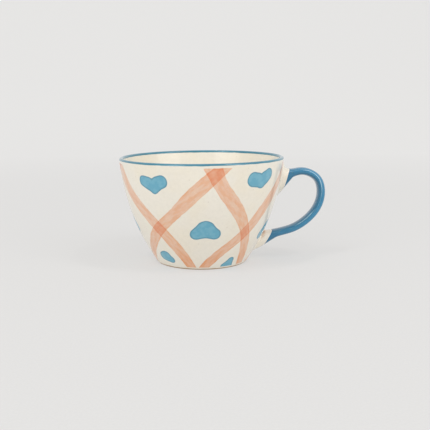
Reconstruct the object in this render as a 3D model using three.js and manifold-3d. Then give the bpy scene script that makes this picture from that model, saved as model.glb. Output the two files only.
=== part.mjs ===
// A wide stoneware mug: a bowl with steep sides on a low foot ring, a coloured lip,
// and an ear-shaped strap handle luted on at two flared joints.
// Millimetres, +Z up, handle towards +X, origin under the middle of the whole mug.
import * as THREE from 'three';
import { mergeVertices } from 'three/addons/utils/BufferGeometryUtils.js';
import Module from 'manifold-3d';

// Driving dimensions.
const HEIGHT = 73.3;
const RIM_RADIUS = 57.5;
const FOOT_RADIUS = 32;
const FOOT_HEIGHT = 1.8;
const FOOT_WIDTH = 5;
const FOOT_BEVEL = 0.5;
const LIP_THICKNESS = 3;
const FLOOR_HEIGHT = 6.3;
const FLOOR_RADIUS = 22;
const HANDLE_WIDTH = 11;
const HANDLE_THICKNESS = 5;
const UPPER_JOINT_LENGTH = 6;
const LOWER_JOINT_LENGTH = 7.7;
const GAP = 0.3;

// How the strap swells where it meets the wall: extra half sizes at the wall, and the
// distance from the wall over which they fade.
const UPPER_SWELL = { thick: 8.8, wide: 2, fade: 5 };
const LOWER_SWELL = { thick: 4.6, wide: 2, fade: 6 };

// The strap's middle line, as distance from the bowl's axis and height, from inside the
// upper joint round the ear to inside the lower one.
const HANDLE_ROUTE = [
  [47, 55],
  [55, 56.8],
  [61.4, 60],
  [65.8, 62],
  [71, 63],
  [77.8, 61.3],
  [82.9, 57],
  [86, 47.5],
  [83.6, 36.8],
  [74, 25.8],
  [66, 21.2],
  [50, 16.7],
  [42, 13],
  [34, 8.5],
];

// Fineness of the faceted solids.
const TURN_SEGMENTS = 60;
const OUTLINE_STEPS = 11;
const LIP_STEPS = 6;
const STRAP_STEPS = 40;
const SECTION_SEGMENTS = 7;

// Outer and inner outlines of the bowl: x is the radius, y the height.
const outer = new THREE.CubicBezierCurve(
  new THREE.Vector2(FOOT_RADIUS, 0),
  new THREE.Vector2(37.3, 9.5),
  new THREE.Vector2(52.3, 28.3),
  new THREE.Vector2(RIM_RADIUS, HEIGHT),
);
const inner = new THREE.CubicBezierCurve(
  new THREE.Vector2(FLOOR_RADIUS, FLOOR_HEIGHT),
  new THREE.Vector2(36, FLOOR_HEIGHT + 0.5),
  new THREE.Vector2(46, 27),
  new THREE.Vector2(RIM_RADIUS - LIP_THICKNESS, HEIGHT),
);

// Where a rising outline passes a height, by halving the interval.
function parameterAt(outline, height) {
  let low = 0;
  let high = 1;
  for (let i = 0; i < 40; i++) {
    const middle = (low + high) / 2;
    if (outline.getPoint(middle).y < height) low = middle;
    else high = middle;
  }
  return (low + high) / 2;
}

function radiusAt(outline, height) {
  return outline.getPoint(parameterAt(outline, height)).x;
}

// Points on an outline between two heights, the ends exactly at those heights.
function stretch(outline, from, to) {
  const start = parameterAt(outline, from);
  const end = parameterAt(outline, to);
  const points = [];
  for (let i = 0; i <= OUTLINE_STEPS; i++) {
    points.push(outline.getPoint(start + ((end - start) * i) / OUTLINE_STEPS));
  }
  points[0].y = from;
  points[OUTLINE_STEPS].y = to;
  return points;
}

// A turned solid about +Z from an outline that runs up the outside and down the inside.
function turned(points) {
  const geometry = new THREE.LatheGeometry(points, TURN_SEGMENTS, Math.PI / 2);
  geometry.rotateX(Math.PI / 2);
  return geometry;
}

// The lip is a half round, so the bowl stops where the lip's half round springs.
const shoulder = HEIGHT - LIP_THICKNESS / 2;

function bowl() {
  const outside = stretch(outer, FOOT_HEIGHT, shoulder);
  const inside = stretch(inner, FLOOR_HEIGHT, shoulder).reverse();
  return turned([
    new THREE.Vector2(0, FOOT_HEIGHT),
    ...outside,
    ...inside,
    new THREE.Vector2(0, FLOOR_HEIGHT),
  ]);
}

function footRing() {
  const top = radiusAt(outer, FOOT_HEIGHT);
  const inside = FOOT_RADIUS - FOOT_WIDTH;
  return turned([
    new THREE.Vector2(inside, FOOT_HEIGHT),
    new THREE.Vector2(inside, FOOT_BEVEL),
    new THREE.Vector2(inside + FOOT_BEVEL, 0),
    new THREE.Vector2(FOOT_RADIUS - FOOT_BEVEL, 0),
    new THREE.Vector2(FOOT_RADIUS, FOOT_BEVEL),
    new THREE.Vector2(top, FOOT_HEIGHT),
    new THREE.Vector2(inside, FOOT_HEIGHT),
  ]);
}

function rimBand() {
  const outside = radiusAt(outer, shoulder);
  const inside = radiusAt(inner, shoulder);
  const middle = (outside + inside) / 2;
  const points = [];
  for (let i = 0; i <= LIP_STEPS; i++) {
    const angle = (Math.PI * i) / LIP_STEPS;
    const rise = (LIP_THICKNESS / 2) * Math.sin(angle);
    points.push(new THREE.Vector2(middle + ((outside - inside) / 2) * Math.cos(angle), shoulder + rise));
  }
  points[LIP_STEPS].y = shoulder;
  points.push(points[0].clone());
  return turned(points);
}

// Everything inside the bowl's outer surface moved outwards by a distance, between two heights.
function core(offset, from, to) {
  const points = stretch(outer, from, to);
  for (const point of points) point.x += offset;
  return turned([new THREE.Vector2(0, from), ...points, new THREE.Vector2(0, to)]);
}

// The strap: an oval section carried along the route. Towards the wall it swells and its
// sections turn until they lie along the wall.
const route = new THREE.CatmullRomCurve3(
  HANDLE_ROUTE.map(([reach, height]) => new THREE.Vector3(reach, 0, height)),
);

function strap() {
  const section = new THREE.Shape().absellipse(0, 0, 1, 1, 0, Math.PI * 2);
  const geometry = new THREE.ExtrudeGeometry(section, {
    depth: 1,
    steps: STRAP_STEPS,
    curveSegments: SECTION_SEGMENTS,
    bevelEnabled: false,
  });
  const position = geometry.attributes.position;
  for (let i = 0; i < position.count; i++) {
    const along = position.getZ(i);
    const middle = route.getPointAt(along);
    const tangent = route.getTangentAt(along);
    const upper = along < 0.5;
    const swell = upper ? UPPER_SWELL : LOWER_SWELL;
    const clear = Math.max(0, middle.x - radiusAt(outer, middle.z));
    const fade = Math.exp(-((clear / swell.fade) ** 2));
    const wall = outer.getTangent(parameterAt(outer, middle.z)).multiplyScalar(upper ? 1 : -1);
    const across = new THREE.Vector3(-tangent.z, 0, tangent.x)
      .lerp(new THREE.Vector3(wall.x, 0, wall.y), fade)
      .normalize();
    middle.addScaledVector(across, position.getY(i) * (HANDLE_THICKNESS / 2 + swell.thick * fade));
    middle.y = position.getX(i) * (HANDLE_WIDTH / 2 + swell.wide * fade);
    position.setXYZ(i, middle.x, middle.y, middle.z);
  }
  return geometry;
}

const wasm = await Module();
wasm.setup();

function solid(geometry) {
  const bare = geometry.clone();
  bare.deleteAttribute('normal');
  bare.deleteAttribute('uv');
  const merged = mergeVertices(bare, 1e-4);
  return new wasm.Manifold(
    new wasm.Mesh({
      numProp: 3,
      vertProperties: merged.attributes.position.array,
      triVerts: new Uint32Array(merged.index.array),
    }),
  );
}

function toGeometry(manifold) {
  const mesh = manifold.getMesh();
  const geometry = new THREE.BufferGeometry();
  geometry.setAttribute('position', new THREE.BufferAttribute(mesh.vertProperties, 3));
  geometry.setIndex(new THREE.BufferAttribute(mesh.triVerts, 1));
  geometry.computeVertexNormals();
  return geometry;
}

// The strap is parted at a set distance from the wall, so both joints are bands that run
// parallel to the bowl.
const halfway = HEIGHT / 2;
const wholeStrap = solid(strap());
const body = solid(core(GAP, 0, HEIGHT));
const upperZone = solid(core(UPPER_JOINT_LENGTH, halfway, HEIGHT));
const lowerZone = solid(core(LOWER_JOINT_LENGTH, 0, halfway));
const upperClear = solid(core(UPPER_JOINT_LENGTH + GAP, halfway, HEIGHT));
const lowerClear = solid(core(LOWER_JOINT_LENGTH + GAP, 0, halfway));

const materials = {
  glaze: new THREE.MeshStandardMaterial({ color: 0xe9e1d0, roughness: 0.25, metalness: 0 }),
  clay: new THREE.MeshStandardMaterial({ color: 0xcdb99c, roughness: 0.85, metalness: 0 }),
  blue: new THREE.MeshStandardMaterial({ color: 0x417f9c, roughness: 0.2, metalness: 0 }),
};

// The handle reaches further from the bowl's axis than the rim does, so the bowl is set
// off by half the difference, and the origin is under the middle of the whole mug.
const handleReach = Math.max(...HANDLE_ROUTE.map(([reach]) => reach)) + HANDLE_THICKNESS / 2;
const mug = new THREE.Group();
mug.position.x = (radiusAt(outer, shoulder) - handleReach) / 2;

function add(name, geometry, material) {
  const mesh = new THREE.Mesh(geometry, material.clone());
  mesh.name = name;
  mug.add(mesh);
}

add('bowl', bowl(), materials.glaze);
add('foot_ring', footRing(), materials.clay);
add('rim_band', rimBand(), materials.blue);
add('handle', toGeometry(wholeStrap.subtract(upperClear).subtract(lowerClear)), materials.blue);
add('upper_handle_joint', toGeometry(wholeStrap.intersect(upperZone).subtract(body)), materials.glaze);
add('lower_handle_joint', toGeometry(wholeStrap.intersect(lowerZone).subtract(body)), materials.glaze);

export default mug;
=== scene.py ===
"""A wide hand-painted stoneware mug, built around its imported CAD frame.

Every piece of clay is a surface worked out with numpy on a grid: the bowl, its lip and its foot are
outlines turned about the bowl's axis, and the strap handle is an oval carried along a route.
"""

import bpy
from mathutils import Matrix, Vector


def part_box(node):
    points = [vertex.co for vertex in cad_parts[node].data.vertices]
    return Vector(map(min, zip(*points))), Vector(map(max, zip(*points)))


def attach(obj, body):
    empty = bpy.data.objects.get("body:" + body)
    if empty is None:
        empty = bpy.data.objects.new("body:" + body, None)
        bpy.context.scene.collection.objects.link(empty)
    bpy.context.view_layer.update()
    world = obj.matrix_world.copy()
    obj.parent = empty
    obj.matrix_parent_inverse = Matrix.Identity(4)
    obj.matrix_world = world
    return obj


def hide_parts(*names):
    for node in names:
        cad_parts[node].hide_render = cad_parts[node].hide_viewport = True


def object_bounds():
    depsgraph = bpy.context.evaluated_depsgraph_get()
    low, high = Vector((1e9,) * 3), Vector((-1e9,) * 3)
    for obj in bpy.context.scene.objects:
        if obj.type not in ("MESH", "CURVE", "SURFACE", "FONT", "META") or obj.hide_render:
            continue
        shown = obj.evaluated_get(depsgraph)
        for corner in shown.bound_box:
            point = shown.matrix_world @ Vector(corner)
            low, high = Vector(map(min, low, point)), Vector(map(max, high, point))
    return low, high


bl_info = {
    "name": "Painted Stoneware Mug",
    "version": (1, 0, 0),
    "blender": (4, 5, 0),
    "location": "3D View > Sidebar > Mug",
    "description": "Builds a wide stoneware mug with a brushed lattice, hearts and a strap handle",
    "category": "Add Mesh",
}

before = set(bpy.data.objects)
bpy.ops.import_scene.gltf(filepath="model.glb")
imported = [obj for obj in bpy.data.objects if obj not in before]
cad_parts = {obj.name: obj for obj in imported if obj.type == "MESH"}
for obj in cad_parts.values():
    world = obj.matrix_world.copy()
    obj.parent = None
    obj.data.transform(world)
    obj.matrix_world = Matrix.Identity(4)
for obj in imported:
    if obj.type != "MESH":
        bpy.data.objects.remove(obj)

import math

import bpy
import numpy as np
from bpy.props import FloatProperty, FloatVectorProperty, PointerProperty
from bpy.types import Operator, Panel, PropertyGroup
from mathutils import Vector

CAD_LOW, CAD_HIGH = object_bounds()
BOWL_LOW, BOWL_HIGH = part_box("bowl")
FOOT_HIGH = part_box("foot_ring")[1]

# The bowl's own axis, the height where the lip's half round springs, and the radius there.
AXIS_X = (BOWL_LOW.x + BOWL_HIGH.x) / 2
SHOULDER = BOWL_HIGH.z
RIM_RADIUS = (BOWL_HIGH.y - BOWL_LOW.y) / 2
LIP_RADIUS = CAD_HIGH.z - SHOULDER
FOOT_HEIGHT = FOOT_HIGH.z

MM = 0.001

# Where the lip's own piece starts, just below the half round.
LIP_START = SHOULDER - 1.2 * MM
TURN = 2 * math.pi

# Grid counts.
COLUMNS = 400
WALL_ROWS = 120
INSIDE_ROWS = 56
UNDER_ROWS = 10
FLOOR_ROWS = 14
LIP_SIDE_ROWS = 6
LIP_ARCH_ROWS = 25
FOOT_CORNER_ROWS = 7
FOOT_SIDE_ROWS = 6
STRAP_ROWS = 260
STRAP_COLUMNS = 72
STRAP_END_ROWS = 1600
JOINT_ROWS = 40

# How many points a curve is read off at, where it is read by its height or its length.
FOOT_STEPS = 600
COARSE = 400
FINE = 2000

# The points that pull the bowl's outlines into their curves, low and high, as radius and height. Inside,
# the low one's height is counted from the floor.
OUTSIDE_PULLS = ((0.0373, 0.0095), (0.0523, 0.0283))
INSIDE_PULLS = ((0.036, 0.0005), (0.046, 0.027))

# How much higher than true the lip stands on the handle's side, and lower opposite.
LIP_TILT = 0.45 * MM
FOOT_BEVEL = 0.6 * MM

# The strap's middle line as distance from the bowl's axis and height in millimetres, from inside the
# upper joint round the ear to inside the lower one.
HANDLE_ROUTE = (
    (47, 55),
    (55, 56.8),
    (61.4, 60),
    (65.8, 61.3),
    (71, 62.2),
    (77.8, 60.7),
    (82.9, 57),
    (86, 47.5),
    (83.6, 36.8),
    (74, 25.8),
    (66, 21.2),
    (50, 16.7),
    (42, 13),
    (34, 8.5),
)

# How the strap swells where it meets the wall, at either end: the extra half thickness, and the distance
# from the wall over which the swelling fades. Its half width swells alike at both ends.
UPPER_SWELL = (8.8 * MM, 5 * MM)
LOWER_SWELL = (4.6 * MM, 6 * MM)
SIDE_SWELL = 2 * MM

# The power of the sine and cosine round the strap: 1 is a true oval, and less is squarer.
SQUARENESS = 0.9

# How much nearer the wall the blue starts on the outer and the inner face of the ear.
UPPER_EDGE = (0, 0.0019)
LOWER_EDGE = (0.0015, 0.0007)

# The radius of each joint's fillet, and how much greater it is on the underside.
UPPER_FILLET = (2.2 * MM, 1.3)
LOWER_FILLET = (1.8 * MM, 0.3)

# A painted highlight: a pale line along the strap's side, in place of the lights' reflection. At a share
# of the strap's length: its angle in degrees up from the middle of the side towards the outer face, and
# how much it shows.
PAINTED_HIGHLIGHT = (
    (0, 30, 0),
    (0.14, 30, 0.2),
    (0.2, 24, 0.7),
    (0.31, -2, 1),
    (0.41, -14, 0.5),
    (0.46, -20, 0),
    (0.54, -36, 0),
    (0.6, -39, 0.9),
    (0.72, -39, 0.8),
    (0.78, -39, 0),
    (1, -39, 0),
)

# Brush strokes as height in millimetres, bearing and half width in degrees. A bearing is 0 at the front
# of the mug, towards -Y, and grows towards the handle, which is at 90.
STROKE_FALLING_LEFT = (
    (70, 8, 6.2),
    (55, -9, 7),
    (42, -23.3, 6.3),
    (30, -40, 7),
    (20, -52, 6.2),
    (0, -79, 5.5),
)
STROKE_NEAR_HANDLE = (
    (70, 76, 6),
    (60, 66, 6.2),
    (40, 46, 6.7),
    (26, 32, 6.6),
    (13, 12.8, 6.8),
    (0, -5, 5.8),
)
STROKE_FALLING_RIGHT = (
    (70, 2.4, 6),
    (61, 6.8, 5.5),
    (50, 15, 6.3),
    (30, 30.6, 5),
    (19, 36.7, 5),
    (0, 45.5, 5.8),
)
STROKE_FAR_LEFT = (
    (70, -78.5, 6.2),
    (53, -65.6, 6.3),
    (38, -49.6, 6.8),
    (21, -32.3, 6.6),
    (0, -15.8, 5.5),
)

# Strokes of one layer don't meet, so a layer is laid in one wash. Five strokes go round in each: the
# stroke's shape and how far it is turned.
FIRST_LAYER = (
    (STROKE_FALLING_LEFT, 0),
    (STROKE_NEAR_HANDLE, 0),
    (STROKE_FALLING_LEFT, 138),
    (STROKE_NEAR_HANDLE, 140),
    (STROKE_FALLING_LEFT, 270),
)
SECOND_LAYER = (
    (STROKE_FALLING_RIGHT, 0),
    (STROKE_FALLING_RIGHT, 71),
    (STROKE_FAR_LEFT, 221),
    (STROKE_FALLING_RIGHT, 210),
    (STROKE_FAR_LEFT, 0),
)
STROKE_TOP = 70.4

# One stroke's share of the deepest tint that the wash can take.
ONE_COAT = 0.62

# A distance that counts as clear of all paint, in millimetres.
CLEAR = 50.0

# A heart is a few dabs of the brush: each runs from one point to another, with a radius at
# both ends, in millimetres about the heart's middle.
HEART_LEFT = (
    ((-7.6, 2.4), 2.8, (-2.9, 1.2), 3.3),
    ((-7.6, 1.0), 3.2, (0.7, -3.8), 2.5),
    ((6.9, 1.9), 4.0, (3.2, 1.2), 3.8),
    ((6.9, 1.4), 3.9, (1.2, -4.2), 2.2),
    ((0, -0.6), 3.0, (1.0, -3.4), 2.8),
)
HEART_RIGHT = (
    ((-6.2, 0.2), 4.7, (-3.0, 0.2), 4.2),
    ((-6.0, -0.1), 4.6, (0.8, -2.2), 3.8),
    ((7.4, 2.8), 3.7, (3.2, 1.0), 3.8),
    ((7.4, 2.2), 3.8, (1.6, -2.2), 3.5),
    ((4.4, 0.4), 4.2, (1.2, -1.8), 3.6),
    ((0, -0.6), 3.4, (1.2, -2.6), 3.2),
)
HEART_UPWARD = (
    ((-6.1, -2.9), 3.9, (-1.5, 2.0), 4.3),
    ((5.7, -2.9), 3.9, (1.5, 2.0), 4.3),
    ((-5.9, -2.9), 3.9, (-2.6, -2.5), 3.9),
    ((5.7, -2.9), 3.9, (2.6, -2.5), 3.9),
    ((0, -2.0), 3.7, (0, 3.0), 3.8),
)
HEART_SMALL_LEFT = (((-1.7, -0.2), 4.0, (2.7, -2.7), 2.8), ((0.6, 1.3), 3.4, (3.0, -2.2), 2.7))
HEART_SMALL_RIGHT = (((-1.7, -2.1), 3.1, (1.5, 3.0), 2.0), ((1.2, -2.2), 2.9, (1.7, 3.0), 2.0))

# The heart, its bearing in degrees and its height in millimetres.
HEARTS = (
    (HEART_LEFT, -39, 60),
    (HEART_RIGHT, 37.5, 62),
    (HEART_LEFT, 111, 60.5),
    (HEART_RIGHT, 180, 61),
    (HEART_LEFT, 250, 61.5),
    (HEART_UPWARD, -2, 30),
    (HEART_UPWARD, 67.5, 24.7),
    (HEART_UPWARD, 138, 28.5),
    (HEART_UPWARD, 207, 30.5),
    (HEART_UPWARD, 275, 29.5),
    (HEART_SMALL_LEFT, -44.5, 8.8),
    (HEART_SMALL_RIGHT, 25.0, 4.1),
    (HEART_SMALL_LEFT, 112, 7.5),
    (HEART_SMALL_RIGHT, 173, 5.5),
    (HEART_SMALL_LEFT, 243, 8),
)

# The sweep: how far it reaches to the sides and the front, where its bend starts, the bend's radius and
# its top.
SWEEP_REACH = 4.0
SWEEP_BEND = 0.9
SWEEP_RADIUS = 0.6
SWEEP_TOP = 3.0
SWEEP_BEND_ROWS = 24
SWEEP_COLUMNS = 5

# The lights, in metres and watts: name, place, width, length and power.
LIGHTS = (
    ("left_strip", (-0.52, -0.42, 0.8), 0.12, 0.6, 1.7),
    ("right_strip", (0.52, -0.42, 0.8), 0.12, 0.6, 1.7),
    ("left_panel", (-0.9, -0.75, 0.4), 0.85, 0.6, 2.3),
    ("right_panel", (0.9, -0.75, 0.4), 0.85, 0.6, 2.3),
    ("left_lamp", (-0.42, -0.36, 1.1), 0.06, 0.06, 0.7),
    ("right_lamp", (0.42, -0.36, 1.1), 0.06, 0.06, 0.7),
)
LIT_HEIGHT = 0.04
TENT_STRENGTH = 0.68

# The camera: its place about the bowl's axis, and what it aims at, as a distance towards the handle
# across the view and a height.
CAMERA_LENS = 53.9
CAMERA_DISTANCE = 0.45
CAMERA_BEARING = math.radians(-5)
CAMERA_HEIGHT = 0.111
AIM_ACROSS = 9.4 * MM
AIM_HEIGHT = 31.6 * MM


def from_hex(code):
    """An sRGB hex colour as linear red, green and blue."""
    parts = np.array([int(code[i : i + 2], 16) for i in (0, 2, 4)]) / 255
    linear = np.where(parts <= 0.04045, parts / 12.92, ((parts + 0.055) / 1.055) ** 2.4)
    return tuple(float(part) for part in linear)


class MugSizes(PropertyGroup):
    """Sizes of the mug that the frame doesn't set."""

    foot_radius: FloatProperty(
        name="Foot radius", default=0.032, unit="LENGTH",
        description="Radius of the outline where it meets the table",
    )
    foot_width: FloatProperty(
        name="Foot width", default=0.005, unit="LENGTH",
        description="Width of the bare ring the mug stands on",
    )
    floor_height: FloatProperty(
        name="Floor height", default=0.0063, unit="LENGTH",
        description="Height of the floor inside the bowl",
    )
    floor_radius: FloatProperty(
        name="Floor radius", default=0.022, unit="LENGTH",
        description="Radius of the flat part of the floor",
    )
    band_outside: FloatProperty(
        name="Band outside", default=0.0013, unit="LENGTH",
        description="How far the blue line runs down the outside",
    )
    band_inside: FloatProperty(
        name="Band inside", default=0.0016, unit="LENGTH",
        description="How far the blue line runs down the inside",
    )
    strap_width: FloatProperty(
        name="Strap width", default=0.011, unit="LENGTH",
        description="Width of the handle's strap",
    )
    strap_thickness: FloatProperty(
        name="Strap thickness", default=0.0054, unit="LENGTH",
        description="Thickness of the handle's strap",
    )
    upper_joint: FloatProperty(
        name="Upper joint", default=0.006, unit="LENGTH",
        description="Length of the cream part of the upper joint",
    )
    lower_joint: FloatProperty(
        name="Lower joint", default=0.0077, unit="LENGTH",
        description="Length of the cream part of the lower joint",
    )


class MugColours(PropertyGroup):
    """Colours of the glaze, the clay and the three paints."""

    cream: FloatVectorProperty(
        name="Cream glaze", default=from_hex("ece6d9"), subtype="COLOR",
        description="The slip under the clear glaze",
    )
    # Partly the clay's own colour, partly painted shade: darkened to stand in for the shade where the
    # foot meets the table.
    clay: FloatVectorProperty(
        name="Bare clay", default=from_hex("b49b7e"), subtype="COLOR",
        description="The unglazed stoneware",
    )
    pink: FloatVectorProperty(
        name="Salmon wash", default=from_hex("f4a062"), subtype="COLOR",
        description="The tint that a full load lays over white",
    )
    heart_blue: FloatVectorProperty(
        name="Heart blue", default=from_hex("59a4be"), subtype="COLOR",
        description="The blue of the hearts",
    )
    strong_blue: FloatVectorProperty(
        name="Strong blue", default=from_hex("2b7ca2"), subtype="COLOR",
        description="The blue of the lip and the handle",
    )


# Curves and outlines


def bezier(start, first, second, end, t):
    """A cubic curve: the four points weighted by the terms of ((1 - t) + t) cubed."""
    t = np.asarray(t)[:, None]
    points = np.array([start, first, second, end], dtype=float)
    weights = ((1 - t) ** 3, 3 * (1 - t) ** 2 * t, 3 * (1 - t) * t**2, t**3)
    return sum(weight * point for weight, point in zip(weights, points))


def spline(knots, values, at):
    """A natural cubic spline: the second slopes at the knots solve one linear system, and each span is
    the cubic that has those second slopes at its ends."""
    knots = np.asarray(knots, dtype=float)
    values = np.asarray(values, dtype=float)
    spans = np.diff(knots)
    count = len(knots)
    system = np.eye(count)
    right = np.zeros((count,) + values.shape[1:])
    slopes = np.diff(values, axis=0) / spans.reshape((-1,) + (1,) * (values.ndim - 1))
    for i in range(1, count - 1):
        system[i, i - 1 : i + 2] = spans[i - 1], 2 * (spans[i - 1] + spans[i]), spans[i]
        right[i] = 6 * (slopes[i] - slopes[i - 1])
    second = np.linalg.solve(system, right)
    at = np.asarray(at, dtype=float)
    i = np.clip(np.searchsorted(knots, at) - 1, 0, count - 2)
    shape = at.shape + (1,) * (values.ndim - 1)
    span = spans[i].reshape(shape)
    before = (at - knots[i]).reshape(shape)
    after = span - before
    cubic = (second[i] * after**3 + second[i + 1] * before**3) / (6 * span)
    line = (values[i] / span - second[i] * span / 6) * after
    return cubic + line + (values[i + 1] / span - second[i + 1] * span / 6) * before


def outer_outline(t):
    """The bowl's outside as radius and height, from the table to the shoulder under the lip."""
    foot = bpy.context.scene.mug_sizes.foot_radius
    return bezier((foot, 0), *OUTSIDE_PULLS, (RIM_RADIUS, SHOULDER), t)


def inner_outline(t):
    """The bowl's inside as radius and height, from the edge of the floor to the shoulder."""
    sizes = bpy.context.scene.mug_sizes
    start = (sizes.floor_radius, sizes.floor_height)
    low, high = INSIDE_PULLS
    low = (low[0], sizes.floor_height + low[1])
    return bezier(start, low, high, (RIM_RADIUS - 2 * LIP_RADIUS, SHOULDER), t)


def outer_radius(height):
    """The outside radius at a height, read off the outline."""
    outline = outer_outline(np.linspace(0, 1, COARSE))
    return np.interp(height, outline[:, 1], outline[:, 0])


def between(outline, low, high):
    """The stretch of a rising outline between two heights, its ends exactly at them."""
    height = np.linspace(0, 1, 200)[:, None] * (high - low) + low
    radius = np.interp(height[:, 0], outline[:, 1], outline[:, 0])
    return np.hstack([radius[:, None], height])


def travelled(line):
    """How far along a line each of its points lies."""
    return np.concatenate([[0], np.cumsum(np.hypot(*np.diff(line, axis=0).T))])


def evenly(outline, count):
    """Points spread at even distances along an outline."""
    along = travelled(outline)
    even = np.linspace(0, along[-1], count)
    return np.stack([np.interp(even, along, outline[:, i]) for i in (0, 1)], axis=1)


def unevenness(bearing, height):
    """How far the clay stands off a true circle: three slow waves round the wall, which fade towards
    the foot, in metres."""
    fade = np.clip(height / SHOULDER, 0, 1)
    waves = 0.14 * np.sin(2 * bearing + 0.7) + 0.07 * np.sin(3 * bearing + 2.1 + 30 * height)
    return (waves + 0.035 * np.sin(5 * bearing + 160 * height)) * MM * fade


# Meshes


def grid_faces(rows, columns, wrap):
    """Quads between neighbouring rows and columns; wrap joins the last row back to the first. Columns
    always join round."""
    row = np.arange(rows if wrap else rows - 1)[:, None]
    column = np.arange(columns)[None, :]
    below = row % rows * columns
    above = (row + 1) % rows * columns
    across = (column + 1) % columns
    return np.stack(
        [below + column, below + across, above + across, above + column], axis=-1
    ).reshape(-1, 4)


def surface(name, points, wrap=False):
    """A mesh object from a grid of points, rows by columns by three. Unless its rows wrap, each end is
    closed by a fan of triangles to the middle of its row."""
    rows, columns = points.shape[:2]
    quads = grid_faces(rows, columns, wrap)
    corners = points.reshape(-1, 3)
    faces = quads.tolist()
    if not wrap:
        column = np.arange(columns)
        following = (column + 1) % columns
        start = len(corners)
        last = (rows - 1) * columns
        corners = np.vstack([corners, points[0].mean(axis=0), points[-1].mean(axis=0)])
        first_fan = np.stack([following, column, np.full(columns, start)], axis=1)
        last_fan = np.stack([last + column, last + following, np.full(columns, start + 1)], axis=1)
        faces += first_fan.tolist() + last_fan.tolist()
    mesh = bpy.data.meshes.new(name)
    mesh.from_pydata(corners.tolist(), [], faces)
    mesh.polygons.foreach_set("use_smooth", np.ones(len(faces), dtype=bool))
    mesh.set_sharp_from_angle(angle=math.radians(50))
    mesh.update()
    piece = bpy.data.objects.new(name, mesh)
    bpy.context.scene.collection.objects.link(piece)
    return piece


def level_off(bearing, height):
    """How far the clay stands above its true height: the lip is a little higher on the handle's side."""
    return LIP_TILT * np.sin(bearing) * np.clip(height / SHOULDER, 0, 1) ** 2


def turned(outline):
    """Points of an outline turned about the bowl's axis, with the clay's unevenness added to the radius.
    Bearings start at the front and grow towards the handle."""
    bearing = np.linspace(0, TURN, COLUMNS, endpoint=False)[None, :]
    radius = outline[:, 0][:, None]
    height = outline[:, 1][:, None] + 0 * bearing
    round_off = unevenness(bearing, height) * np.clip(radius / RIM_RADIUS, 0, 1)
    radius = radius + round_off
    height = height + level_off(bearing, height)
    return np.stack([AXIS_X + radius * np.sin(bearing), -radius * np.cos(bearing), height], axis=-1)


def keep_vector(piece, name, values):
    """Stores three numbers for each corner of the mesh, for the material to read."""
    layer = piece.data.attributes.new(name, "FLOAT_VECTOR", "POINT")
    padded = np.full((len(piece.data.vertices), 3), CLEAR)
    padded[: len(values)] = values
    layer.data.foreach_set("vector", padded.ravel())


def finish_piece(piece, material, slot, *nodes):
    """Gives a piece its material, parents it to the root body and hides the CAD nodes that it stands for.
    The slot is not used.
    """
    piece.data.materials.append(material)
    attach(piece, "root")
    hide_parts(*nodes)


# Paint, laid out in millimetres on the unrolled wall


def unrolled(outline):
    """The height of each row, the millimetres to a degree there and how far up the wall it is, and the
    bearing of each column."""
    heights = outline[:, 1] / MM
    arc = outline[:, 0] / MM * math.radians(1)
    bearing = np.degrees(np.linspace(0, TURN, COLUMNS, endpoint=False))
    return heights, arc, travelled(outline / MM), bearing


def stroke_layer(layer, outline):
    """For each point of the turned outline: the distance outside the nearest stroke's edge, the distance
    across it and the distance along it, in millimetres. Each stroke's distance along starts elsewhere,
    so no two have the same streaks.

    A stroke's middle and half width are splines over height. Across is the arc from the middle,
    shortened by the stroke's slant, and the edge is where it passes the half width."""
    heights, arc, climb, bearing = unrolled(outline)
    best = np.full((len(outline), COLUMNS, 3), CLEAR)
    for stroke, turn in layer:
        knots = np.array(stroke[::-1], dtype=float)
        middle, half = spline(knots[:, 0], knots[:, 1:], heights).T
        lean = np.gradient(middle, climb) * arc
        slant = np.sqrt(1 + lean**2)
        off = (bearing[None, :] - middle[:, None] - turn + 180) % 360 - 180
        across = off * (arc / slant)[:, None]
        along = np.concatenate([[0], np.cumsum(np.diff(climb) * (slant[1:] + slant[:-1]) / 2)])
        edge = np.maximum(np.abs(across) - (half * arc / slant)[:, None], (heights - STROKE_TOP)[:, None])
        mine = np.stack([edge, across, along[:, None] + 40 * turn + 0 * across], axis=-1)
        best = np.where((edge < best[..., 0])[..., None], mine, best)
    return best


def heart_layer(outline):
    """For each point: the distance outside the nearest heart's edge in millimetres, and its place across
    and up that heart, shifted so that no two hearts have the same mottling.

    A dab's edge is the distance to a line from its start to its end, less a radius that runs from one
    end's to the other's. Dabs of one heart flow together: the smaller distance, less a rounding where
    two are nearly the same."""
    flow = 1.4
    heights, arc, climb, bearing = unrolled(outline)
    best = np.full((len(outline), COLUMNS, 3), CLEAR)
    for heart, turn, height in HEARTS:
        right = ((bearing[None, :] - turn + 180) % 360 - 180) * arc[:, None]
        up = (climb - np.interp(height, heights, climb))[:, None] + 0 * right
        place = np.stack([right, up], axis=-1)
        edge = np.full(right.shape, CLEAR)
        for start, start_radius, end, end_radius in heart:
            line = np.subtract(end, start)
            share = np.clip((place - start) @ line / (line @ line), 0, 1)
            off = place - start - share[..., None] * line
            dab = np.hypot(off[..., 0], off[..., 1]) - start_radius - share * (end_radius - start_radius)
            near = np.clip(1 - np.abs(edge - dab) / flow, 0, 1)
            edge = np.minimum(edge, dab) - near**2 * flow / 4
        mine = np.stack([edge, right + 7 * turn, up], axis=-1)
        best = np.where((edge < best[..., 0])[..., None], mine, best)
    return best


# Materials


def node(tree, kind, inputs=None, **settings):
    """Adds one node, with its settings, and its inputs set or linked."""
    made = tree.nodes.new(kind)
    for name, value in settings.items():
        setattr(made, name, value)
    for socket, value in (inputs or {}).items():
        if isinstance(value, bpy.types.NodeSocket):
            tree.links.new(value, made.inputs[socket])
        else:
            made.inputs[socket].default_value = value
    return made


def new_material(name):
    """An empty node material and its tree."""
    material = bpy.data.materials.new(name)
    material.use_nodes = True
    material.node_tree.nodes.clear()
    return material, material.node_tree


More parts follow.
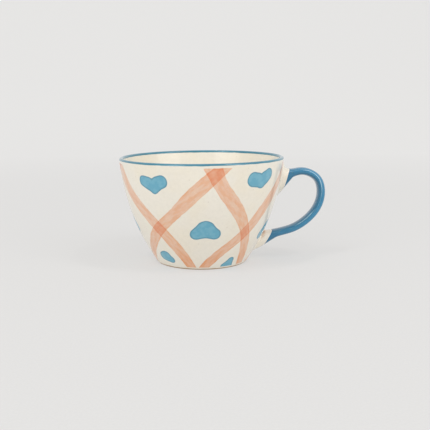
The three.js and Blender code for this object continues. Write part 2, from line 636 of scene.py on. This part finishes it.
def noise(tree, vector, scale, detail=2.0, roughness=0.5):
    """The value of a noise pattern, about 0.5."""
    settings = {"Vector": vector, "Scale": scale, "Detail": detail, "Roughness": roughness}
    return node(tree, "ShaderNodeTexNoise", settings).outputs["Fac"]


def maths(tree, operation, *values):
    """The result of one arithmetic step on numbers or sockets."""
    return node(tree, "ShaderNodeMath", dict(enumerate(values)), operation=operation).outputs[0]


def ramp(tree, value, low, high, start=0.0, end=1.0):
    """Takes a value from one range to another along an S-shaped step."""
    inputs = {"Value": value, "From Min": low, "From Max": high, "To Min": start, "To Max": end}
    made = node(tree, "ShaderNodeMapRange", inputs, interpolation_type="SMOOTHSTEP")
    return made.outputs["Result"]


def blend(tree, factor, under, over, mode="MIX"):
    """One colour over another."""
    made = node(tree, "ShaderNodeMix", data_type="RGBA", blend_type=mode)
    for socket, value in ((0, factor), (6, under), (7, over)):
        if isinstance(value, bpy.types.NodeSocket):
            tree.links.new(value, made.inputs[socket])
        else:
            made.inputs[socket].default_value = value if socket == 0 else (*value, 1)
    return made.outputs[2]


def object_place(tree):
    """The place on the object, in metres."""
    return node(tree, "ShaderNodeTexCoord").outputs["Object"]


def glazed(tree, colour, under_gloss, wave_height):
    """Clear gloss glaze over colour: a smooth glassy coat, IOR 1.5, over a body whose own gloss is
    strong where the paint has melted into the glaze. The glaze lies in very shallow waves about 6 mm
    long with a fine orange peel on them, so reflections waver slightly."""
    place = object_place(tree)
    waves = noise(tree, place, 160.0, 1.0)
    peel = noise(tree, place, 900.0, 1.0)
    height = maths(tree, "ADD", waves, maths(tree, "MULTIPLY", peel, 0.12))
    bump = node(tree, "ShaderNodeBump", {"Height": height, "Strength": 0.25, "Distance": wave_height})
    shader = node(
        tree,
        "ShaderNodeBsdfPrincipled",
        {
            "Base Color": colour,
            "Roughness": 0.45 - 0.33 * under_gloss,
            "Specular IOR Level": 0.2 + 0.35 * under_gloss,
            "IOR": 1.5,
            "Coat Weight": 1.0,
            "Coat Roughness": 0.03,
            "Coat IOR": 1.5,
            "Normal": bump.outputs["Normal"],
        },
    )
    node(tree, "ShaderNodeOutputMaterial", {"Surface": shader.outputs[0]})


def cream_body(tree):
    """Cream slip seen through clear glaze. Slow drifts of warmth 20 mm wide, fine mottling 2 mm wide,
    and sparse iron specks about 0.5 mm across."""
    colours = bpy.context.scene.mug_colours
    place = object_place(tree)
    cream = tuple(colours.cream)
    warm = tuple(part * tint for part, tint in zip(cream, (1.0, 0.98, 0.935)))
    drift = ramp(tree, noise(tree, place, 50.0, 3.0), 0.35, 0.7)
    colour = blend(tree, drift, cream, warm)
    mottle = ramp(tree, noise(tree, place, 500.0, 3.0, 0.6), 0.3, 0.7, 0.98, 1.015)
    grey = node(tree, "ShaderNodeCombineColor", {0: mottle, 1: mottle, 2: mottle}).outputs[0]
    colour = blend(tree, 1.0, colour, grey, "MULTIPLY")
    speck = node(tree, "ShaderNodeTexVoronoi", {"Vector": place, "Scale": 210.0})
    spot = ramp(tree, speck.outputs["Distance"], 0.035, 0.075, 0.35, 0.0)
    return blend(tree, spot, colour, from_hex("9c8468"))


def wash(tree, colour, attribute):
    """One layer of salmon wash, brushed on with a flat brush 9 mm wide and multiplied over what is
    under it. The edge wanders by a few tenths of a millimetre, hairs leave streaks along the
    stroke, colour gathers in a line about 0.6 mm wide along both edges, and the wash grows darker
    low on the wall, as painted shade of the lower wall."""
    colours = bpy.context.scene.mug_colours
    parts = node(tree, "ShaderNodeAttribute", attribute_name=attribute).outputs["Vector"]
    split = node(tree, "ShaderNodeSeparateXYZ", {0: parts})
    edge, across, along = split.outputs
    stretched = node(
        tree, "ShaderNodeCombineXYZ", {0: across, 1: maths(tree, "MULTIPLY", along, 0.3)}
    ).outputs[0]
    hairs = noise(tree, stretched, 1.6, 3.0, 0.6)
    flow = noise(tree, stretched, 0.35, 2.0)
    place = object_place(tree)
    wander = maths(tree, "MULTIPLY_ADD", noise(tree, place, 220.0, 2.0), 0.9, -0.45)
    ragged = maths(tree, "MULTIPLY_ADD", hairs, 0.5, -0.25)
    edge = maths(tree, "ADD", edge, maths(tree, "ADD", wander, ragged))
    cover = ramp(tree, edge, 0.22, -0.22)
    pooled = ramp(tree, edge, -1.0, -0.1, 0.0, 0.16)
    streaks = ramp(tree, hairs, 0.3, 0.7, -0.05, 0.05)
    slow = ramp(tree, flow, 0.34, 0.66, -0.16, 0.16)
    height = node(tree, "ShaderNodeSeparateXYZ", {0: place}).outputs[2]
    # Painted shade: the wash darkens towards the foot.
    darkening_and_painted_shade = ramp(tree, height, 24 * MM, 4 * MM, 0.92, 1.2)
    load = maths(tree, "ADD", maths(tree, "ADD", streaks, slow), maths(tree, "ADD", pooled, darkening_and_painted_shade))
    amount = maths(tree, "MULTIPLY", cover, maths(tree, "MULTIPLY", load, ONE_COAT))
    return blend(tree, amount, colour, blend(tree, 1.0, colour, tuple(colours.pink), "MULTIPLY"))


def hearts(tree, colour):
    """Blue hearts dabbed on with a loaded round brush: thin and milky inside, with a darker line about
    0.7 mm wide where the colour ran to the edge and dried."""
    colours = bpy.context.scene.mug_colours
    blue = tuple(colours.heart_blue)
    deep = tuple(part * tint for part, tint in zip(blue, (0.5, 0.62, 0.64)))
    pale = tuple(part * tint for part, tint in zip(blue, (1.4, 1.12, 1.06)))
    parts = node(tree, "ShaderNodeAttribute", attribute_name="heart_edge").outputs["Vector"]
    split = node(tree, "ShaderNodeSeparateXYZ", {0: parts})
    edge, right, up = split.outputs
    flat = node(tree, "ShaderNodeCombineXYZ", {0: right, 1: up}).outputs[0]
    place = object_place(tree)
    wander = maths(tree, "MULTIPLY_ADD", noise(tree, place, 300.0, 2.0), 0.5, -0.25)
    edge = maths(tree, "ADD", edge, wander)
    cover = ramp(tree, edge, 0.18, -0.18, 0.0, 0.97)
    pools = ramp(tree, noise(tree, flat, 0.22, 3.0, 0.55), 0.4, 0.6)
    inside = blend(tree, pools, blue, pale)
    rim = ramp(tree, edge, -1.3, -0.2, 0.0, 0.8)
    return blend(tree, cover, colour, blend(tree, rim, inside, deep))


def painted_glaze():
    """Glazed stoneware with underglaze painting: cream slip, two layers of salmon wash and blue hearts,
    all under one clear gloss glaze, so the paint shows no relief of its own."""
    material, tree = new_material("painted_clear_glaze")
    colour = cream_body(tree)
    colour = wash(tree, colour, "first_wash")
    colour = wash(tree, colour, "second_wash")
    colour = hearts(tree, colour)
    glazed(tree, colour, 0.0, 0.04 * MM)
    return material


def plain_glaze():
    """The same cream slip under clear gloss glaze, with nothing painted on it."""
    material, tree = new_material("cream_clear_glaze")
    glazed(tree, cream_body(tree), 0.0, 0.04 * MM)
    return material


def blue_paint(tree, brushed, scale, tint=(1.0, 1.0, 1.0)):
    """Strong blue underglaze brushed along the piece: hair streaks, slow pools of darker teal, and
    thinner, greener patches where the clay shows through. The tint shifts all of it."""
    colours = bpy.context.scene.mug_colours
    blue = tuple(part * share for part, share in zip(colours.strong_blue, tint))
    deep = tuple(part * tint for part, tint in zip(blue, (0.6, 0.72, 0.78)))
    thin = tuple(part * tint for part, tint in zip(blue, (1.6, 1.2, 1.14)))
    hairs = ramp(tree, noise(tree, brushed, scale, 4.0, 0.6), 0.32, 0.68)
    pools = ramp(tree, noise(tree, brushed, scale * 0.2, 2.0), 0.4, 0.66)
    colour = blend(tree, hairs, blue, thin)
    return blend(tree, maths(tree, "MULTIPLY", pools, 0.3), colour, deep)


def handle_glaze():
    """Blue underglaze under clear gloss on the strap, brushed lengthwise, darker towards its ends and on
    its outer face, with painted shade on its inner face. A painted highlight, a paler line about 0.4 mm
    wide, runs along each side of the strap."""
    material, tree = new_material("brushed_blue_glaze")
    parts = node(tree, "ShaderNodeAttribute", attribute_name="strap_place").outputs["Vector"]
    colour = blue_paint(tree, parts, 1.1)
    highlight_line = node(tree, "ShaderNodeAttribute", attribute_name="strap_highlight_and_shade").outputs["Vector"]
    off, strength, darkening_and_painted_shade = node(tree, "ShaderNodeSeparateXYZ", {0: highlight_line}).outputs
    # Darker blue towards the ends and on the outer face, and painted shade on the inner face.
    colour = blend(tree, darkening_and_painted_shade, colour, (0.6, 0.74, 0.78), "MULTIPLY")
    # Painted highlight: a pale line, broken in places, along each side of the strap, in place of a
    # reflection.
    line = maths(tree, "MULTIPLY", ramp(tree, off, 0.34, 0.08), strength)
    highlight_breaks = ramp(tree, noise(tree, parts, 2.0, 2.0), 0.3, 0.5, 0.6, 1.0)
    pale = from_hex("a9cfe0")
    glazed(tree, blend(tree, maths(tree, "MULTIPLY", line, highlight_breaks), colour, pale), 0.15, 0.008 * MM)
    return material


def lip_glaze():
    """The lip: a line of blue drawn round on the wheel, over cream. Its edges waver by about 0.2 mm,
    and its colour thins where the brush was lifted."""
    material, tree = new_material("banded_blue_glaze")
    parts = node(tree, "ShaderNodeAttribute", attribute_name="lip_place").outputs["Vector"]
    edge, _, _ = node(tree, "ShaderNodeSeparateXYZ", {0: parts}).outputs
    place = object_place(tree)
    wander = maths(tree, "MULTIPLY_ADD", noise(tree, place, 180.0, 3.0), 0.5, -0.25)
    cover = ramp(tree, maths(tree, "ADD", edge, wander), 0.12, -0.12)
    paint = blue_paint(tree, place, 130.0, (1.3, 0.97, 0.78))
    glazed(tree, blend(tree, cover, cream_body(tree), paint), 0.3, 0.02 * MM)
    return material


def bare_clay():
    """Unglazed stoneware: buff, matte and gritty, with grog grains about 0.3 mm across and a rusty
    flush next to the glaze, which runs down over the ring to about 0.9 mm above the table."""
    colours = bpy.context.scene.mug_colours
    material, tree = new_material("bare_buff_stoneware")
    # The clay colour carries painted shade where the foot meets the table.
    clay = tuple(colours.clay)
    rust = tuple(part * tint for part, tint in zip(clay, (0.72, 0.55, 0.42)))
    place = object_place(tree)
    height = node(tree, "ShaderNodeSeparateXYZ", {0: place}).outputs[2]
    flush = ramp(tree, height, 0.2 * MM, 0.9 * MM, 0.0, 0.6)
    colour = blend(tree, flush, clay, rust)
    grains = node(tree, "ShaderNodeTexVoronoi", {"Vector": place, "Scale": 1400.0}).outputs["Distance"]
    grog = ramp(tree, grains, 0.1, 0.32, 0.5, 0.0)
    colour = blend(tree, grog, colour, from_hex("6b5642"))
    run = maths(tree, "MULTIPLY_ADD", noise(tree, place, 120.0, 2.0), 0.5 * MM, height)
    run = ramp(tree, run, 1.08 * MM, 1.22 * MM)
    colour = blend(tree, run, colour, cream_body(tree))
    roughness = ramp(tree, run, 0.0, 1.0, 0.86, 0.14)
    bare = ramp(tree, run, 0.0, 1.0, 1.0, 0.0)
    grit = maths(tree, "MULTIPLY", noise(tree, place, 2200.0, 4.0, 0.7), bare)
    bump = node(tree, "ShaderNodeBump", {"Height": grit, "Strength": 0.7, "Distance": 0.12 * MM})
    shader = node(
        tree,
        "ShaderNodeBsdfPrincipled",
        {"Base Color": colour, "Roughness": roughness, "IOR": 1.5, "Normal": bump.outputs["Normal"]},
    )
    node(tree, "ShaderNodeOutputMaterial", {"Surface": shader.outputs[0]})
    return material


def opal_sweep():
    """A sheet of opal acrylic lit from behind: matte, pale grey, glowing a little less in the middle,
    where the lamps fall on it, than at its far side."""
    material, tree = new_material("backlit_opal_acrylic")
    place = object_place(tree)
    tooth = ramp(tree, noise(tree, place, 900.0, 3.0), 0.3, 0.7)
    colour = blend(tree, tooth, from_hex("807f7e"), from_hex("848382"))
    reach = node(tree, "ShaderNodeVectorMath", {0: place}, operation="LENGTH").outputs["Value"]
    glow = ramp(tree, reach, 0.1, 1.3, 0.505, 0.6)
    shader = node(
        tree,
        "ShaderNodeBsdfPrincipled",
        {
            "Base Color": colour,
            "Roughness": 0.9,
            "Specular IOR Level": 0.2,
            "Emission Color": (1.0, 0.995, 0.985, 1.0),
            "Emission Strength": glow,
        },
    )
    node(tree, "ShaderNodeOutputMaterial", {"Surface": shader.outputs[0]})
    return material


# The strap handle


def strap_rows(along):
    """The strap's surface in the bowl's own axes, rows by columns by three, at shares of the route.

    Each row is an oval about a point of the route. It lies square to the route, and towards the wall
    it turns until it lies along the wall and swells as a bell curve of the distance to the wall."""
    sizes = bpy.context.scene.mug_sizes
    route = np.array(HANDLE_ROUTE) * MM
    chord = travelled(route)
    fine = np.linspace(0, chord[-1], FINE)
    line = spline(chord, route, fine)
    length = travelled(line)
    place = np.stack([np.interp(along * length[-1], length, line[:, i]) for i in (0, 1)], axis=1)
    tangent = np.gradient(place, along * length[-1], axis=0)
    tangent /= np.hypot(*tangent.T)[:, None]
    upper = along < 0.5
    side = np.where(upper, 1.0, -1.0)
    outline = outer_outline(np.linspace(0, 1, COARSE))
    wall = np.stack([np.gradient(outline[:, 0], outline[:, 1]), np.ones(len(outline))], axis=1)
    wall /= np.hypot(*wall.T)[:, None]
    wall = np.stack([np.interp(place[:, 1], outline[:, 1], wall[:, i]) for i in (0, 1)], axis=1)
    clear = np.maximum(0, place[:, 0] - outer_radius(place[:, 1]))
    swell = np.where(upper[:, None], UPPER_SWELL, LOWER_SWELL)
    fade = np.exp(-((clear / swell[:, 1]) ** 2))
    normal = np.stack([-tangent[:, 1], tangent[:, 0]], axis=1)
    normal += (wall * side[:, None] - normal) * fade[:, None]
    normal /= np.hypot(*normal.T)[:, None]
    thick = sizes.strap_thickness / 2 + swell[:, 0] * fade
    wide = sizes.strap_width / 2 + SIDE_SWELL * fade
    turn = np.linspace(0, TURN, STRAP_COLUMNS, endpoint=False)
    rise = np.sign(np.sin(turn)) * np.abs(np.sin(turn)) ** SQUARENESS
    reach = np.sign(np.cos(turn)) * np.abs(np.cos(turn)) ** SQUARENESS
    across = place[:, None, :] + normal[:, None, :] * (thick[:, None] * rise)[..., None]
    return np.stack([across[..., 0], wide[:, None] * reach, across[..., 1]], axis=-1)


def highlight_and_shade_lines(share):
    """For each point of the strap: the distance from the painted highlight line along its side, in
    millimetres, how much that highlight shows, and how much darker the blue is, towards the ends, on the
    outer face and, as painted shade, on the inner face.

    The highlight line is given by its angle up from the middle of the side towards the outer face, at
    shares of the strap's length."""
    half = bpy.context.scene.mug_sizes.strap_thickness / 2 / MM
    rise = np.sin(np.linspace(0, TURN, STRAP_COLUMNS, endpoint=False))[None, :] * half
    at, angle, shows = np.array(PAINTED_HIGHLIGHT).T
    highlight_line = np.sin(np.radians(np.interp(share, at, angle)))[:, None] * half
    shown = np.interp(share, at, shows)[:, None] + 0 * rise
    near_end = np.clip(1 - np.minimum(share, 1 - share) / 0.3, 0, 1)[:, None] * 0.7
    # Painted shade: the strap's inner face, turned towards the wall, is darkened.
    inside = np.clip(-rise / half - 0.2, 0, 0.7) / 0.7
    outside = np.clip(rise / half - 0.5, 0, 0.5)
    darkening_and_painted_shade = np.maximum(near_end, np.maximum(inside, outside))
    return np.stack([np.abs(rise - highlight_line), shown, darkening_and_painted_shade], axis=-1)


def wall_distance(points):
    """How far points stand off the bowl's outside, level with it."""
    bearing = np.arctan2(points[..., 0], -points[..., 1])
    radius = outer_radius(points[..., 2]) + unevenness(bearing, points[..., 2])
    return np.hypot(points[..., 0], points[..., 1]) - radius


def paint_edge(length, outer, inner):
    """How far off the wall the blue starts, round the strap: the length, less a little on the outer
    and the inner face of the ear."""
    rise = np.sin(np.linspace(0, TURN, STRAP_COLUMNS, endpoint=False)) / 2
    return length - outer * (0.5 + rise) - inner * (0.5 - rise)


def part_row(rows, target):
    """The closed line round the strap that stands a set distance off the wall, one distance for all
    columns or one for each. Down each column the distance grows, and the line passes where it
    reaches the target."""
    off = wall_distance(rows)
    clear = off > target
    after = np.argmax(clear, axis=0)
    column = np.arange(rows.shape[1])
    before = np.maximum(after - 1, 0)
    low = off[before, column]
    high = off[after, column]
    share = np.clip((target - low) / np.maximum(high - low, 1e-9), 0, 1)[:, None]
    return rows[before, column] * (1 - share) + rows[after, column] * share


def placed(points):
    """Points moved from the bowl's axis to the frame."""
    return points + np.array([AXIS_X, 0, 0])


def joint_surface(rows, length, fillet, tail):
    """A joint as lines round the strap at growing distances from the wall. Within the fillet's radius
    each line spreads along the wall by a quarter round, so the joint runs into the wall smoothly. The
    tail is how much greater the fillet is on the underside. The first line is buried in the wall, and
    lines crowd towards it."""
    buried = 0.2 * MM
    nearest = 0.05 * MM
    crowding = 1.6
    made = []
    for step in np.linspace(0, 1, JOINT_ROWS) ** crowding:
        distance = step * (length + buried) - buried
        line = part_row(rows, np.maximum(distance, nearest))
        flat = line[:, 1:] - line[:, 1:].mean(axis=0)
        following = np.roll(flat, -1, axis=0) - np.roll(flat, 1, axis=0)
        outward = np.stack([following[:, 1], -following[:, 0]], axis=1)
        outward *= np.sign((outward * flat).sum())
        outward /= np.hypot(*outward.T)[:, None]
        around = fillet * (1 + tail * np.clip(-outward[:, 1], 0, 1) ** 2)
        inside = np.clip(1 - np.maximum(distance, 0) / around, 0, 1)
        spread = around * (1 - np.sqrt(1 - inside**2))
        moved = line[:, 1:] + outward * spread[:, None]
        radius = outer_radius(moved[:, 1]) + distance
        x = np.sqrt(radius**2 - moved[:, 0] ** 2)
        bearing = np.arctan2(x, -moved[:, 0])
        radius = radius + unevenness(bearing, moved[:, 1])
        made.append(np.stack([np.sqrt(radius**2 - moved[:, 0] ** 2), moved[:, 0], moved[:, 1]], axis=1))
    return np.array(made)


def strap_ends():
    """The strap's rows from the wall outwards at both ends."""
    along = np.linspace(0, 1, STRAP_END_ROWS)
    rows = strap_rows(along)
    third = len(along) // 3
    return rows[:third], rows[: -third - 1 : -1]


# Operators


class MUG_OT_bowl(Operator):
    """Turn the bowl, and lay out its painting"""

    bl_idname = "mug.bowl"
    bl_label = "Bowl"

    def execute(self, context):
        sizes = context.scene.mug_sizes
        fine = np.linspace(0, 1, FINE)
        outside = evenly(between(outer_outline(fine), FOOT_HEIGHT, LIP_START), WALL_ROWS)
        inside = evenly(between(inner_outline(fine), sizes.floor_height, LIP_START), INSIDE_ROWS)[::-1]
        recess = sizes.foot_radius - sizes.foot_width
        pole = 0.5 * MM
        under = np.linspace(pole, recess, UNDER_ROWS)
        under = np.stack([under, np.full(len(under), FOOT_HEIGHT)], axis=1)
        floor = np.linspace(sizes.floor_radius, pole, FLOOR_ROWS)[1:]
        floor = np.stack([floor, np.full(len(floor), sizes.floor_height)], axis=1)
        outline = np.vstack([under, outside, inside, floor])
        piece = surface("bowl_body", turned(outline))
        start = len(under)
        end = start + len(outside)
        for name, layer in (
            ("first_wash", stroke_layer(FIRST_LAYER, outside)),
            ("second_wash", stroke_layer(SECOND_LAYER, outside)),
            ("heart_edge", heart_layer(outside)),
        ):
            values = np.full((len(outline), COLUMNS, 3), CLEAR)
            values[start:end] = layer
            keep_vector(piece, name, values.reshape(-1, 3))
        finish_piece(piece, painted_glaze(), "cream_glaze", "bowl")
        return {"FINISHED"}


class MUG_OT_foot_ring(Operator):
    """Turn the bare foot ring, its top let into the bowl"""

    bl_idname = "mug.foot_ring"
    bl_label = "Foot Ring"

    def execute(self, context):
        sizes = context.scene.mug_sizes
        outer = sizes.foot_radius
        inner = outer - sizes.foot_width
        corner = np.linspace(0, math.pi / 2, FOOT_CORNER_ROWS)[:, None]
        far = FOOT_BEVEL * (1 - np.cos(corner))
        near = FOOT_BEVEL * (1 - np.sin(corner))
        inner_corner = np.hstack([inner + far, near])
        outer_corner = np.hstack([outer - near, far])
        side = outer_outline(np.linspace(0, 1, FOOT_STEPS))
        side = side[(side[:, 1] > 1.2 * FOOT_BEVEL) & (side[:, 1] < FOOT_HEIGHT)]
        side = evenly(side, FOOT_SIDE_ROWS)
        seat = FOOT_HEIGHT + 0.2 * MM
        inset = 1 * MM
        top = np.array([[side[-1, 0] - inset, seat], [inner, seat]])
        outline = np.vstack([inner_corner, outer_corner, side, top])
        piece = surface("foot_ring_bare", turned(outline), wrap=True)
        finish_piece(piece, bare_clay(), "bare_stoneware", "foot_ring")
        return {"FINISHED"}


class MUG_OT_rim_band(Operator):
    """Turn the rounded lip with its blue line"""

    bl_idname = "mug.rim_band"
    bl_label = "Rim Band"

    def execute(self, context):
        sizes = context.scene.mug_sizes
        fine = np.linspace(0, 1, FINE)
        outside = evenly(between(outer_outline(fine), LIP_START, SHOULDER), LIP_SIDE_ROWS)
        inside = evenly(between(inner_outline(fine), LIP_START, SHOULDER), LIP_SIDE_ROWS)[::-1]
        angle = np.linspace(0, math.pi, LIP_ARCH_ROWS)[1:-1, None]
        middle = RIM_RADIUS - LIP_RADIUS
        arch = np.hstack([middle + LIP_RADIUS * np.cos(angle), SHOULDER + LIP_RADIUS * np.sin(angle)])
        outline = np.vstack([outside, arch, inside])
        piece = surface("lip_with_line", turned(outline), wrap=True)
        depth = (CAD_HIGH.z - outline[:, 1]) / MM
        share = np.clip((outline[:, 0] - middle) / LIP_RADIUS, -1, 1) / 2 + 0.5
        reach = sizes.band_inside * (1 - share) + sizes.band_outside * share
        values = np.zeros((len(outline), COLUMNS, 3))
        values[..., 0] = (depth - reach / MM)[:, None]
        keep_vector(piece, "lip_place", values.reshape(-1, 3))
        finish_piece(piece, lip_glaze(), "blue_underglaze", "rim_band")
        return {"FINISHED"}


class MUG_OT_handle(Operator):
    """Carry the strap handle along its route"""

    bl_idname = "mug.handle"
    bl_label = "Handle"

    def execute(self, context):
        sizes = context.scene.mug_sizes
        upper, lower = strap_ends()
        first = part_row(upper, paint_edge(sizes.upper_joint, *UPPER_EDGE))
        last = part_row(lower, paint_edge(sizes.lower_joint, *LOWER_EDGE))
        rows = strap_rows(np.linspace(0, 1, STRAP_ROWS))
        off = wall_distance(rows).min(axis=1)
        upper_half = np.arange(len(rows)) < len(rows) // 2
        joint = np.where(upper_half, sizes.upper_joint, sizes.lower_joint)
        clearance = 0.3 * MM
        rows = np.concatenate([first[None], rows[off > joint + clearance], last[None]])
        piece = surface("strap_handle", placed(rows))
        step = np.linalg.norm(np.diff(rows, axis=0), axis=2).mean(axis=1)
        along = np.concatenate([[0], np.cumsum(step)]) / MM
        streak_stretch = 0.12
        wrap = 2.5
        values = np.zeros(rows.shape)
        values[..., 0] = rows[..., 1] / MM
        values[..., 1] = along[:, None] * streak_stretch
        values[..., 2] = np.sin(np.linspace(0, TURN, STRAP_COLUMNS, endpoint=False))[None, :] * wrap
        keep_vector(piece, "strap_place", values.reshape(-1, 3))
        keep_vector(piece, "strap_highlight_and_shade", highlight_and_shade_lines(along / along[-1]).reshape(-1, 3))
        finish_piece(piece, handle_glaze(), "blue_underglaze", "handle")
        return {"FINISHED"}


class MUG_OT_joints(Operator):
    """Flare both ends of the strap into the wall"""

    bl_idname = "mug.joints"
    bl_label = "Handle Joints"

    def execute(self, context):
        sizes = context.scene.mug_sizes
        upper, lower = strap_ends()
        glaze = plain_glaze()
        for name, rows, length, fillet in (
            ("upper", upper, paint_edge(sizes.upper_joint, *UPPER_EDGE), UPPER_FILLET),
            ("lower", lower, paint_edge(sizes.lower_joint, *LOWER_EDGE), LOWER_FILLET),
        ):
            points = joint_surface(rows, length, *fillet)
            if name == "lower":
                points = points[:, ::-1]
            piece = surface(name + "_joint", placed(points))
            finish_piece(piece, glaze, "cream_glaze", name + "_handle_joint")
        return {"FINISHED"}


class MUG_OT_stage(Operator):
    """Set the backlit sweep, the lights and the camera"""

    bl_idname = "mug.stage"
    bl_label = "Stage"

    def execute(self, context):
        scene = context.scene
        self.add_sweep()
        self.add_lights()
        self.add_camera(scene)
        scene.view_settings.view_transform = "Standard"
        world = bpy.data.worlds.new("light_tent")
        world.use_nodes = True
        background = world.node_tree.nodes["Background"]
        background.inputs["Color"].default_value = (1.0, 0.995, 0.985, 1.0)
        background.inputs["Strength"].default_value = TENT_STRENGTH
        scene.world = world
        return {"FINISHED"}

    def add_sweep(self):
        """A sheet of opal acrylic: level in front, a quarter round behind, then upright."""
        angle = np.linspace(0, math.pi / 2, SWEEP_BEND_ROWS)
        back = SWEEP_BEND + SWEEP_RADIUS
        depth = np.concatenate([[-SWEEP_REACH], SWEEP_BEND + SWEEP_RADIUS * np.sin(angle), [back]])
        height = np.concatenate([[0], SWEEP_RADIUS * (1 - np.cos(angle)), [SWEEP_TOP]])
        across = np.linspace(-SWEEP_REACH, SWEEP_REACH, SWEEP_COLUMNS)
        points = np.stack(np.broadcast_arrays(across, depth[:, None], height[:, None]), axis=-1)
        rows, columns = points.shape[:2]
        row = np.arange(rows - 1)[:, None] * columns
        column = np.arange(columns - 1)[None, :]
        corner = (row + column).ravel()
        faces = np.stack([corner, corner + 1, corner + columns + 1, corner + columns], axis=1)
        mesh = bpy.data.meshes.new("opal_sweep")
        mesh.from_pydata(points.reshape(-1, 3).tolist(), [], faces.tolist())
        mesh.polygons.foreach_set("use_smooth", np.ones(len(faces), dtype=bool))
        mesh.materials.append(opal_sweep())
        sweep = bpy.data.objects.new("opal_sweep", mesh)
        bpy.context.scene.collection.objects.link(sweep)

    def add_lights(self):
        """A long strip up on each side, a panel on either side of the camera and two small lamps."""
        middle = Vector((AXIS_X, 0, LIT_HEIGHT))
        for name, place, width, length, power in LIGHTS:
            data = bpy.data.lights.new(name, "AREA")
            data.shape = "RECTANGLE"
            data.size = width
            data.size_y = length
            data.energy = power
            lamp = bpy.data.objects.new(name, data)
            lamp.location = place
            lamp.rotation_euler = (middle - lamp.location).to_track_quat("-Z", "Y").to_euler()
            bpy.context.scene.collection.objects.link(lamp)

    def add_camera(self, scene):
        """A long-lens view from a little above the rim, 5 degrees round from square to the handle."""
        data = bpy.data.cameras.new("camera")
        data.lens = CAMERA_LENS
        along = math.cos(CAMERA_BEARING)
        aside = math.sin(CAMERA_BEARING)
        aim = Vector((AXIS_X + AIM_ACROSS * along, AIM_ACROSS * aside, AIM_HEIGHT))
        camera = bpy.data.objects.new("camera", data)
        camera.location = (AXIS_X + CAMERA_DISTANCE * aside, -CAMERA_DISTANCE * along, CAMERA_HEIGHT)
        camera.rotation_euler = (aim - camera.location).to_track_quat("-Z", "Y").to_euler()
        scene.collection.objects.link(camera)
        scene.camera = camera


OPERATORS = (MUG_OT_bowl, MUG_OT_foot_ring, MUG_OT_rim_band, MUG_OT_handle, MUG_OT_joints, MUG_OT_stage)


class MUG_PT_build(Panel):
    """Buttons for each piece of the mug, its sizes and its colours"""

    bl_label = "Stoneware Mug"
    bl_idname = "MUG_PT_build"
    bl_space_type = "VIEW_3D"
    bl_region_type = "UI"
    bl_category = "Mug"

    def draw(self, context):
        layout = self.layout
        for operator in OPERATORS:
            layout.operator(operator.bl_idname)
        for group in (context.scene.mug_sizes, context.scene.mug_colours):
            box = layout.box()
            for name in group.__annotations__:
                box.prop(group, name)


CLASSES = (MugSizes, MugColours, *OPERATORS, MUG_PT_build)


def register():
    for item in CLASSES:
        bpy.utils.register_class(item)
    bpy.types.Scene.mug_sizes = PointerProperty(type=MugSizes)
    bpy.types.Scene.mug_colours = PointerProperty(type=MugColours)


def unregister():
    del bpy.types.Scene.mug_colours
    del bpy.types.Scene.mug_sizes
    for item in reversed(CLASSES):
        bpy.utils.unregister_class(item)


def main():
    """Builds every piece."""
    register()
    bpy.ops.mug.bowl()
    bpy.ops.mug.foot_ring()
    bpy.ops.mug.rim_band()
    bpy.ops.mug.handle()
    bpy.ops.mug.joints()
    bpy.ops.mug.stage()


if __name__ == "__main__":
    main()
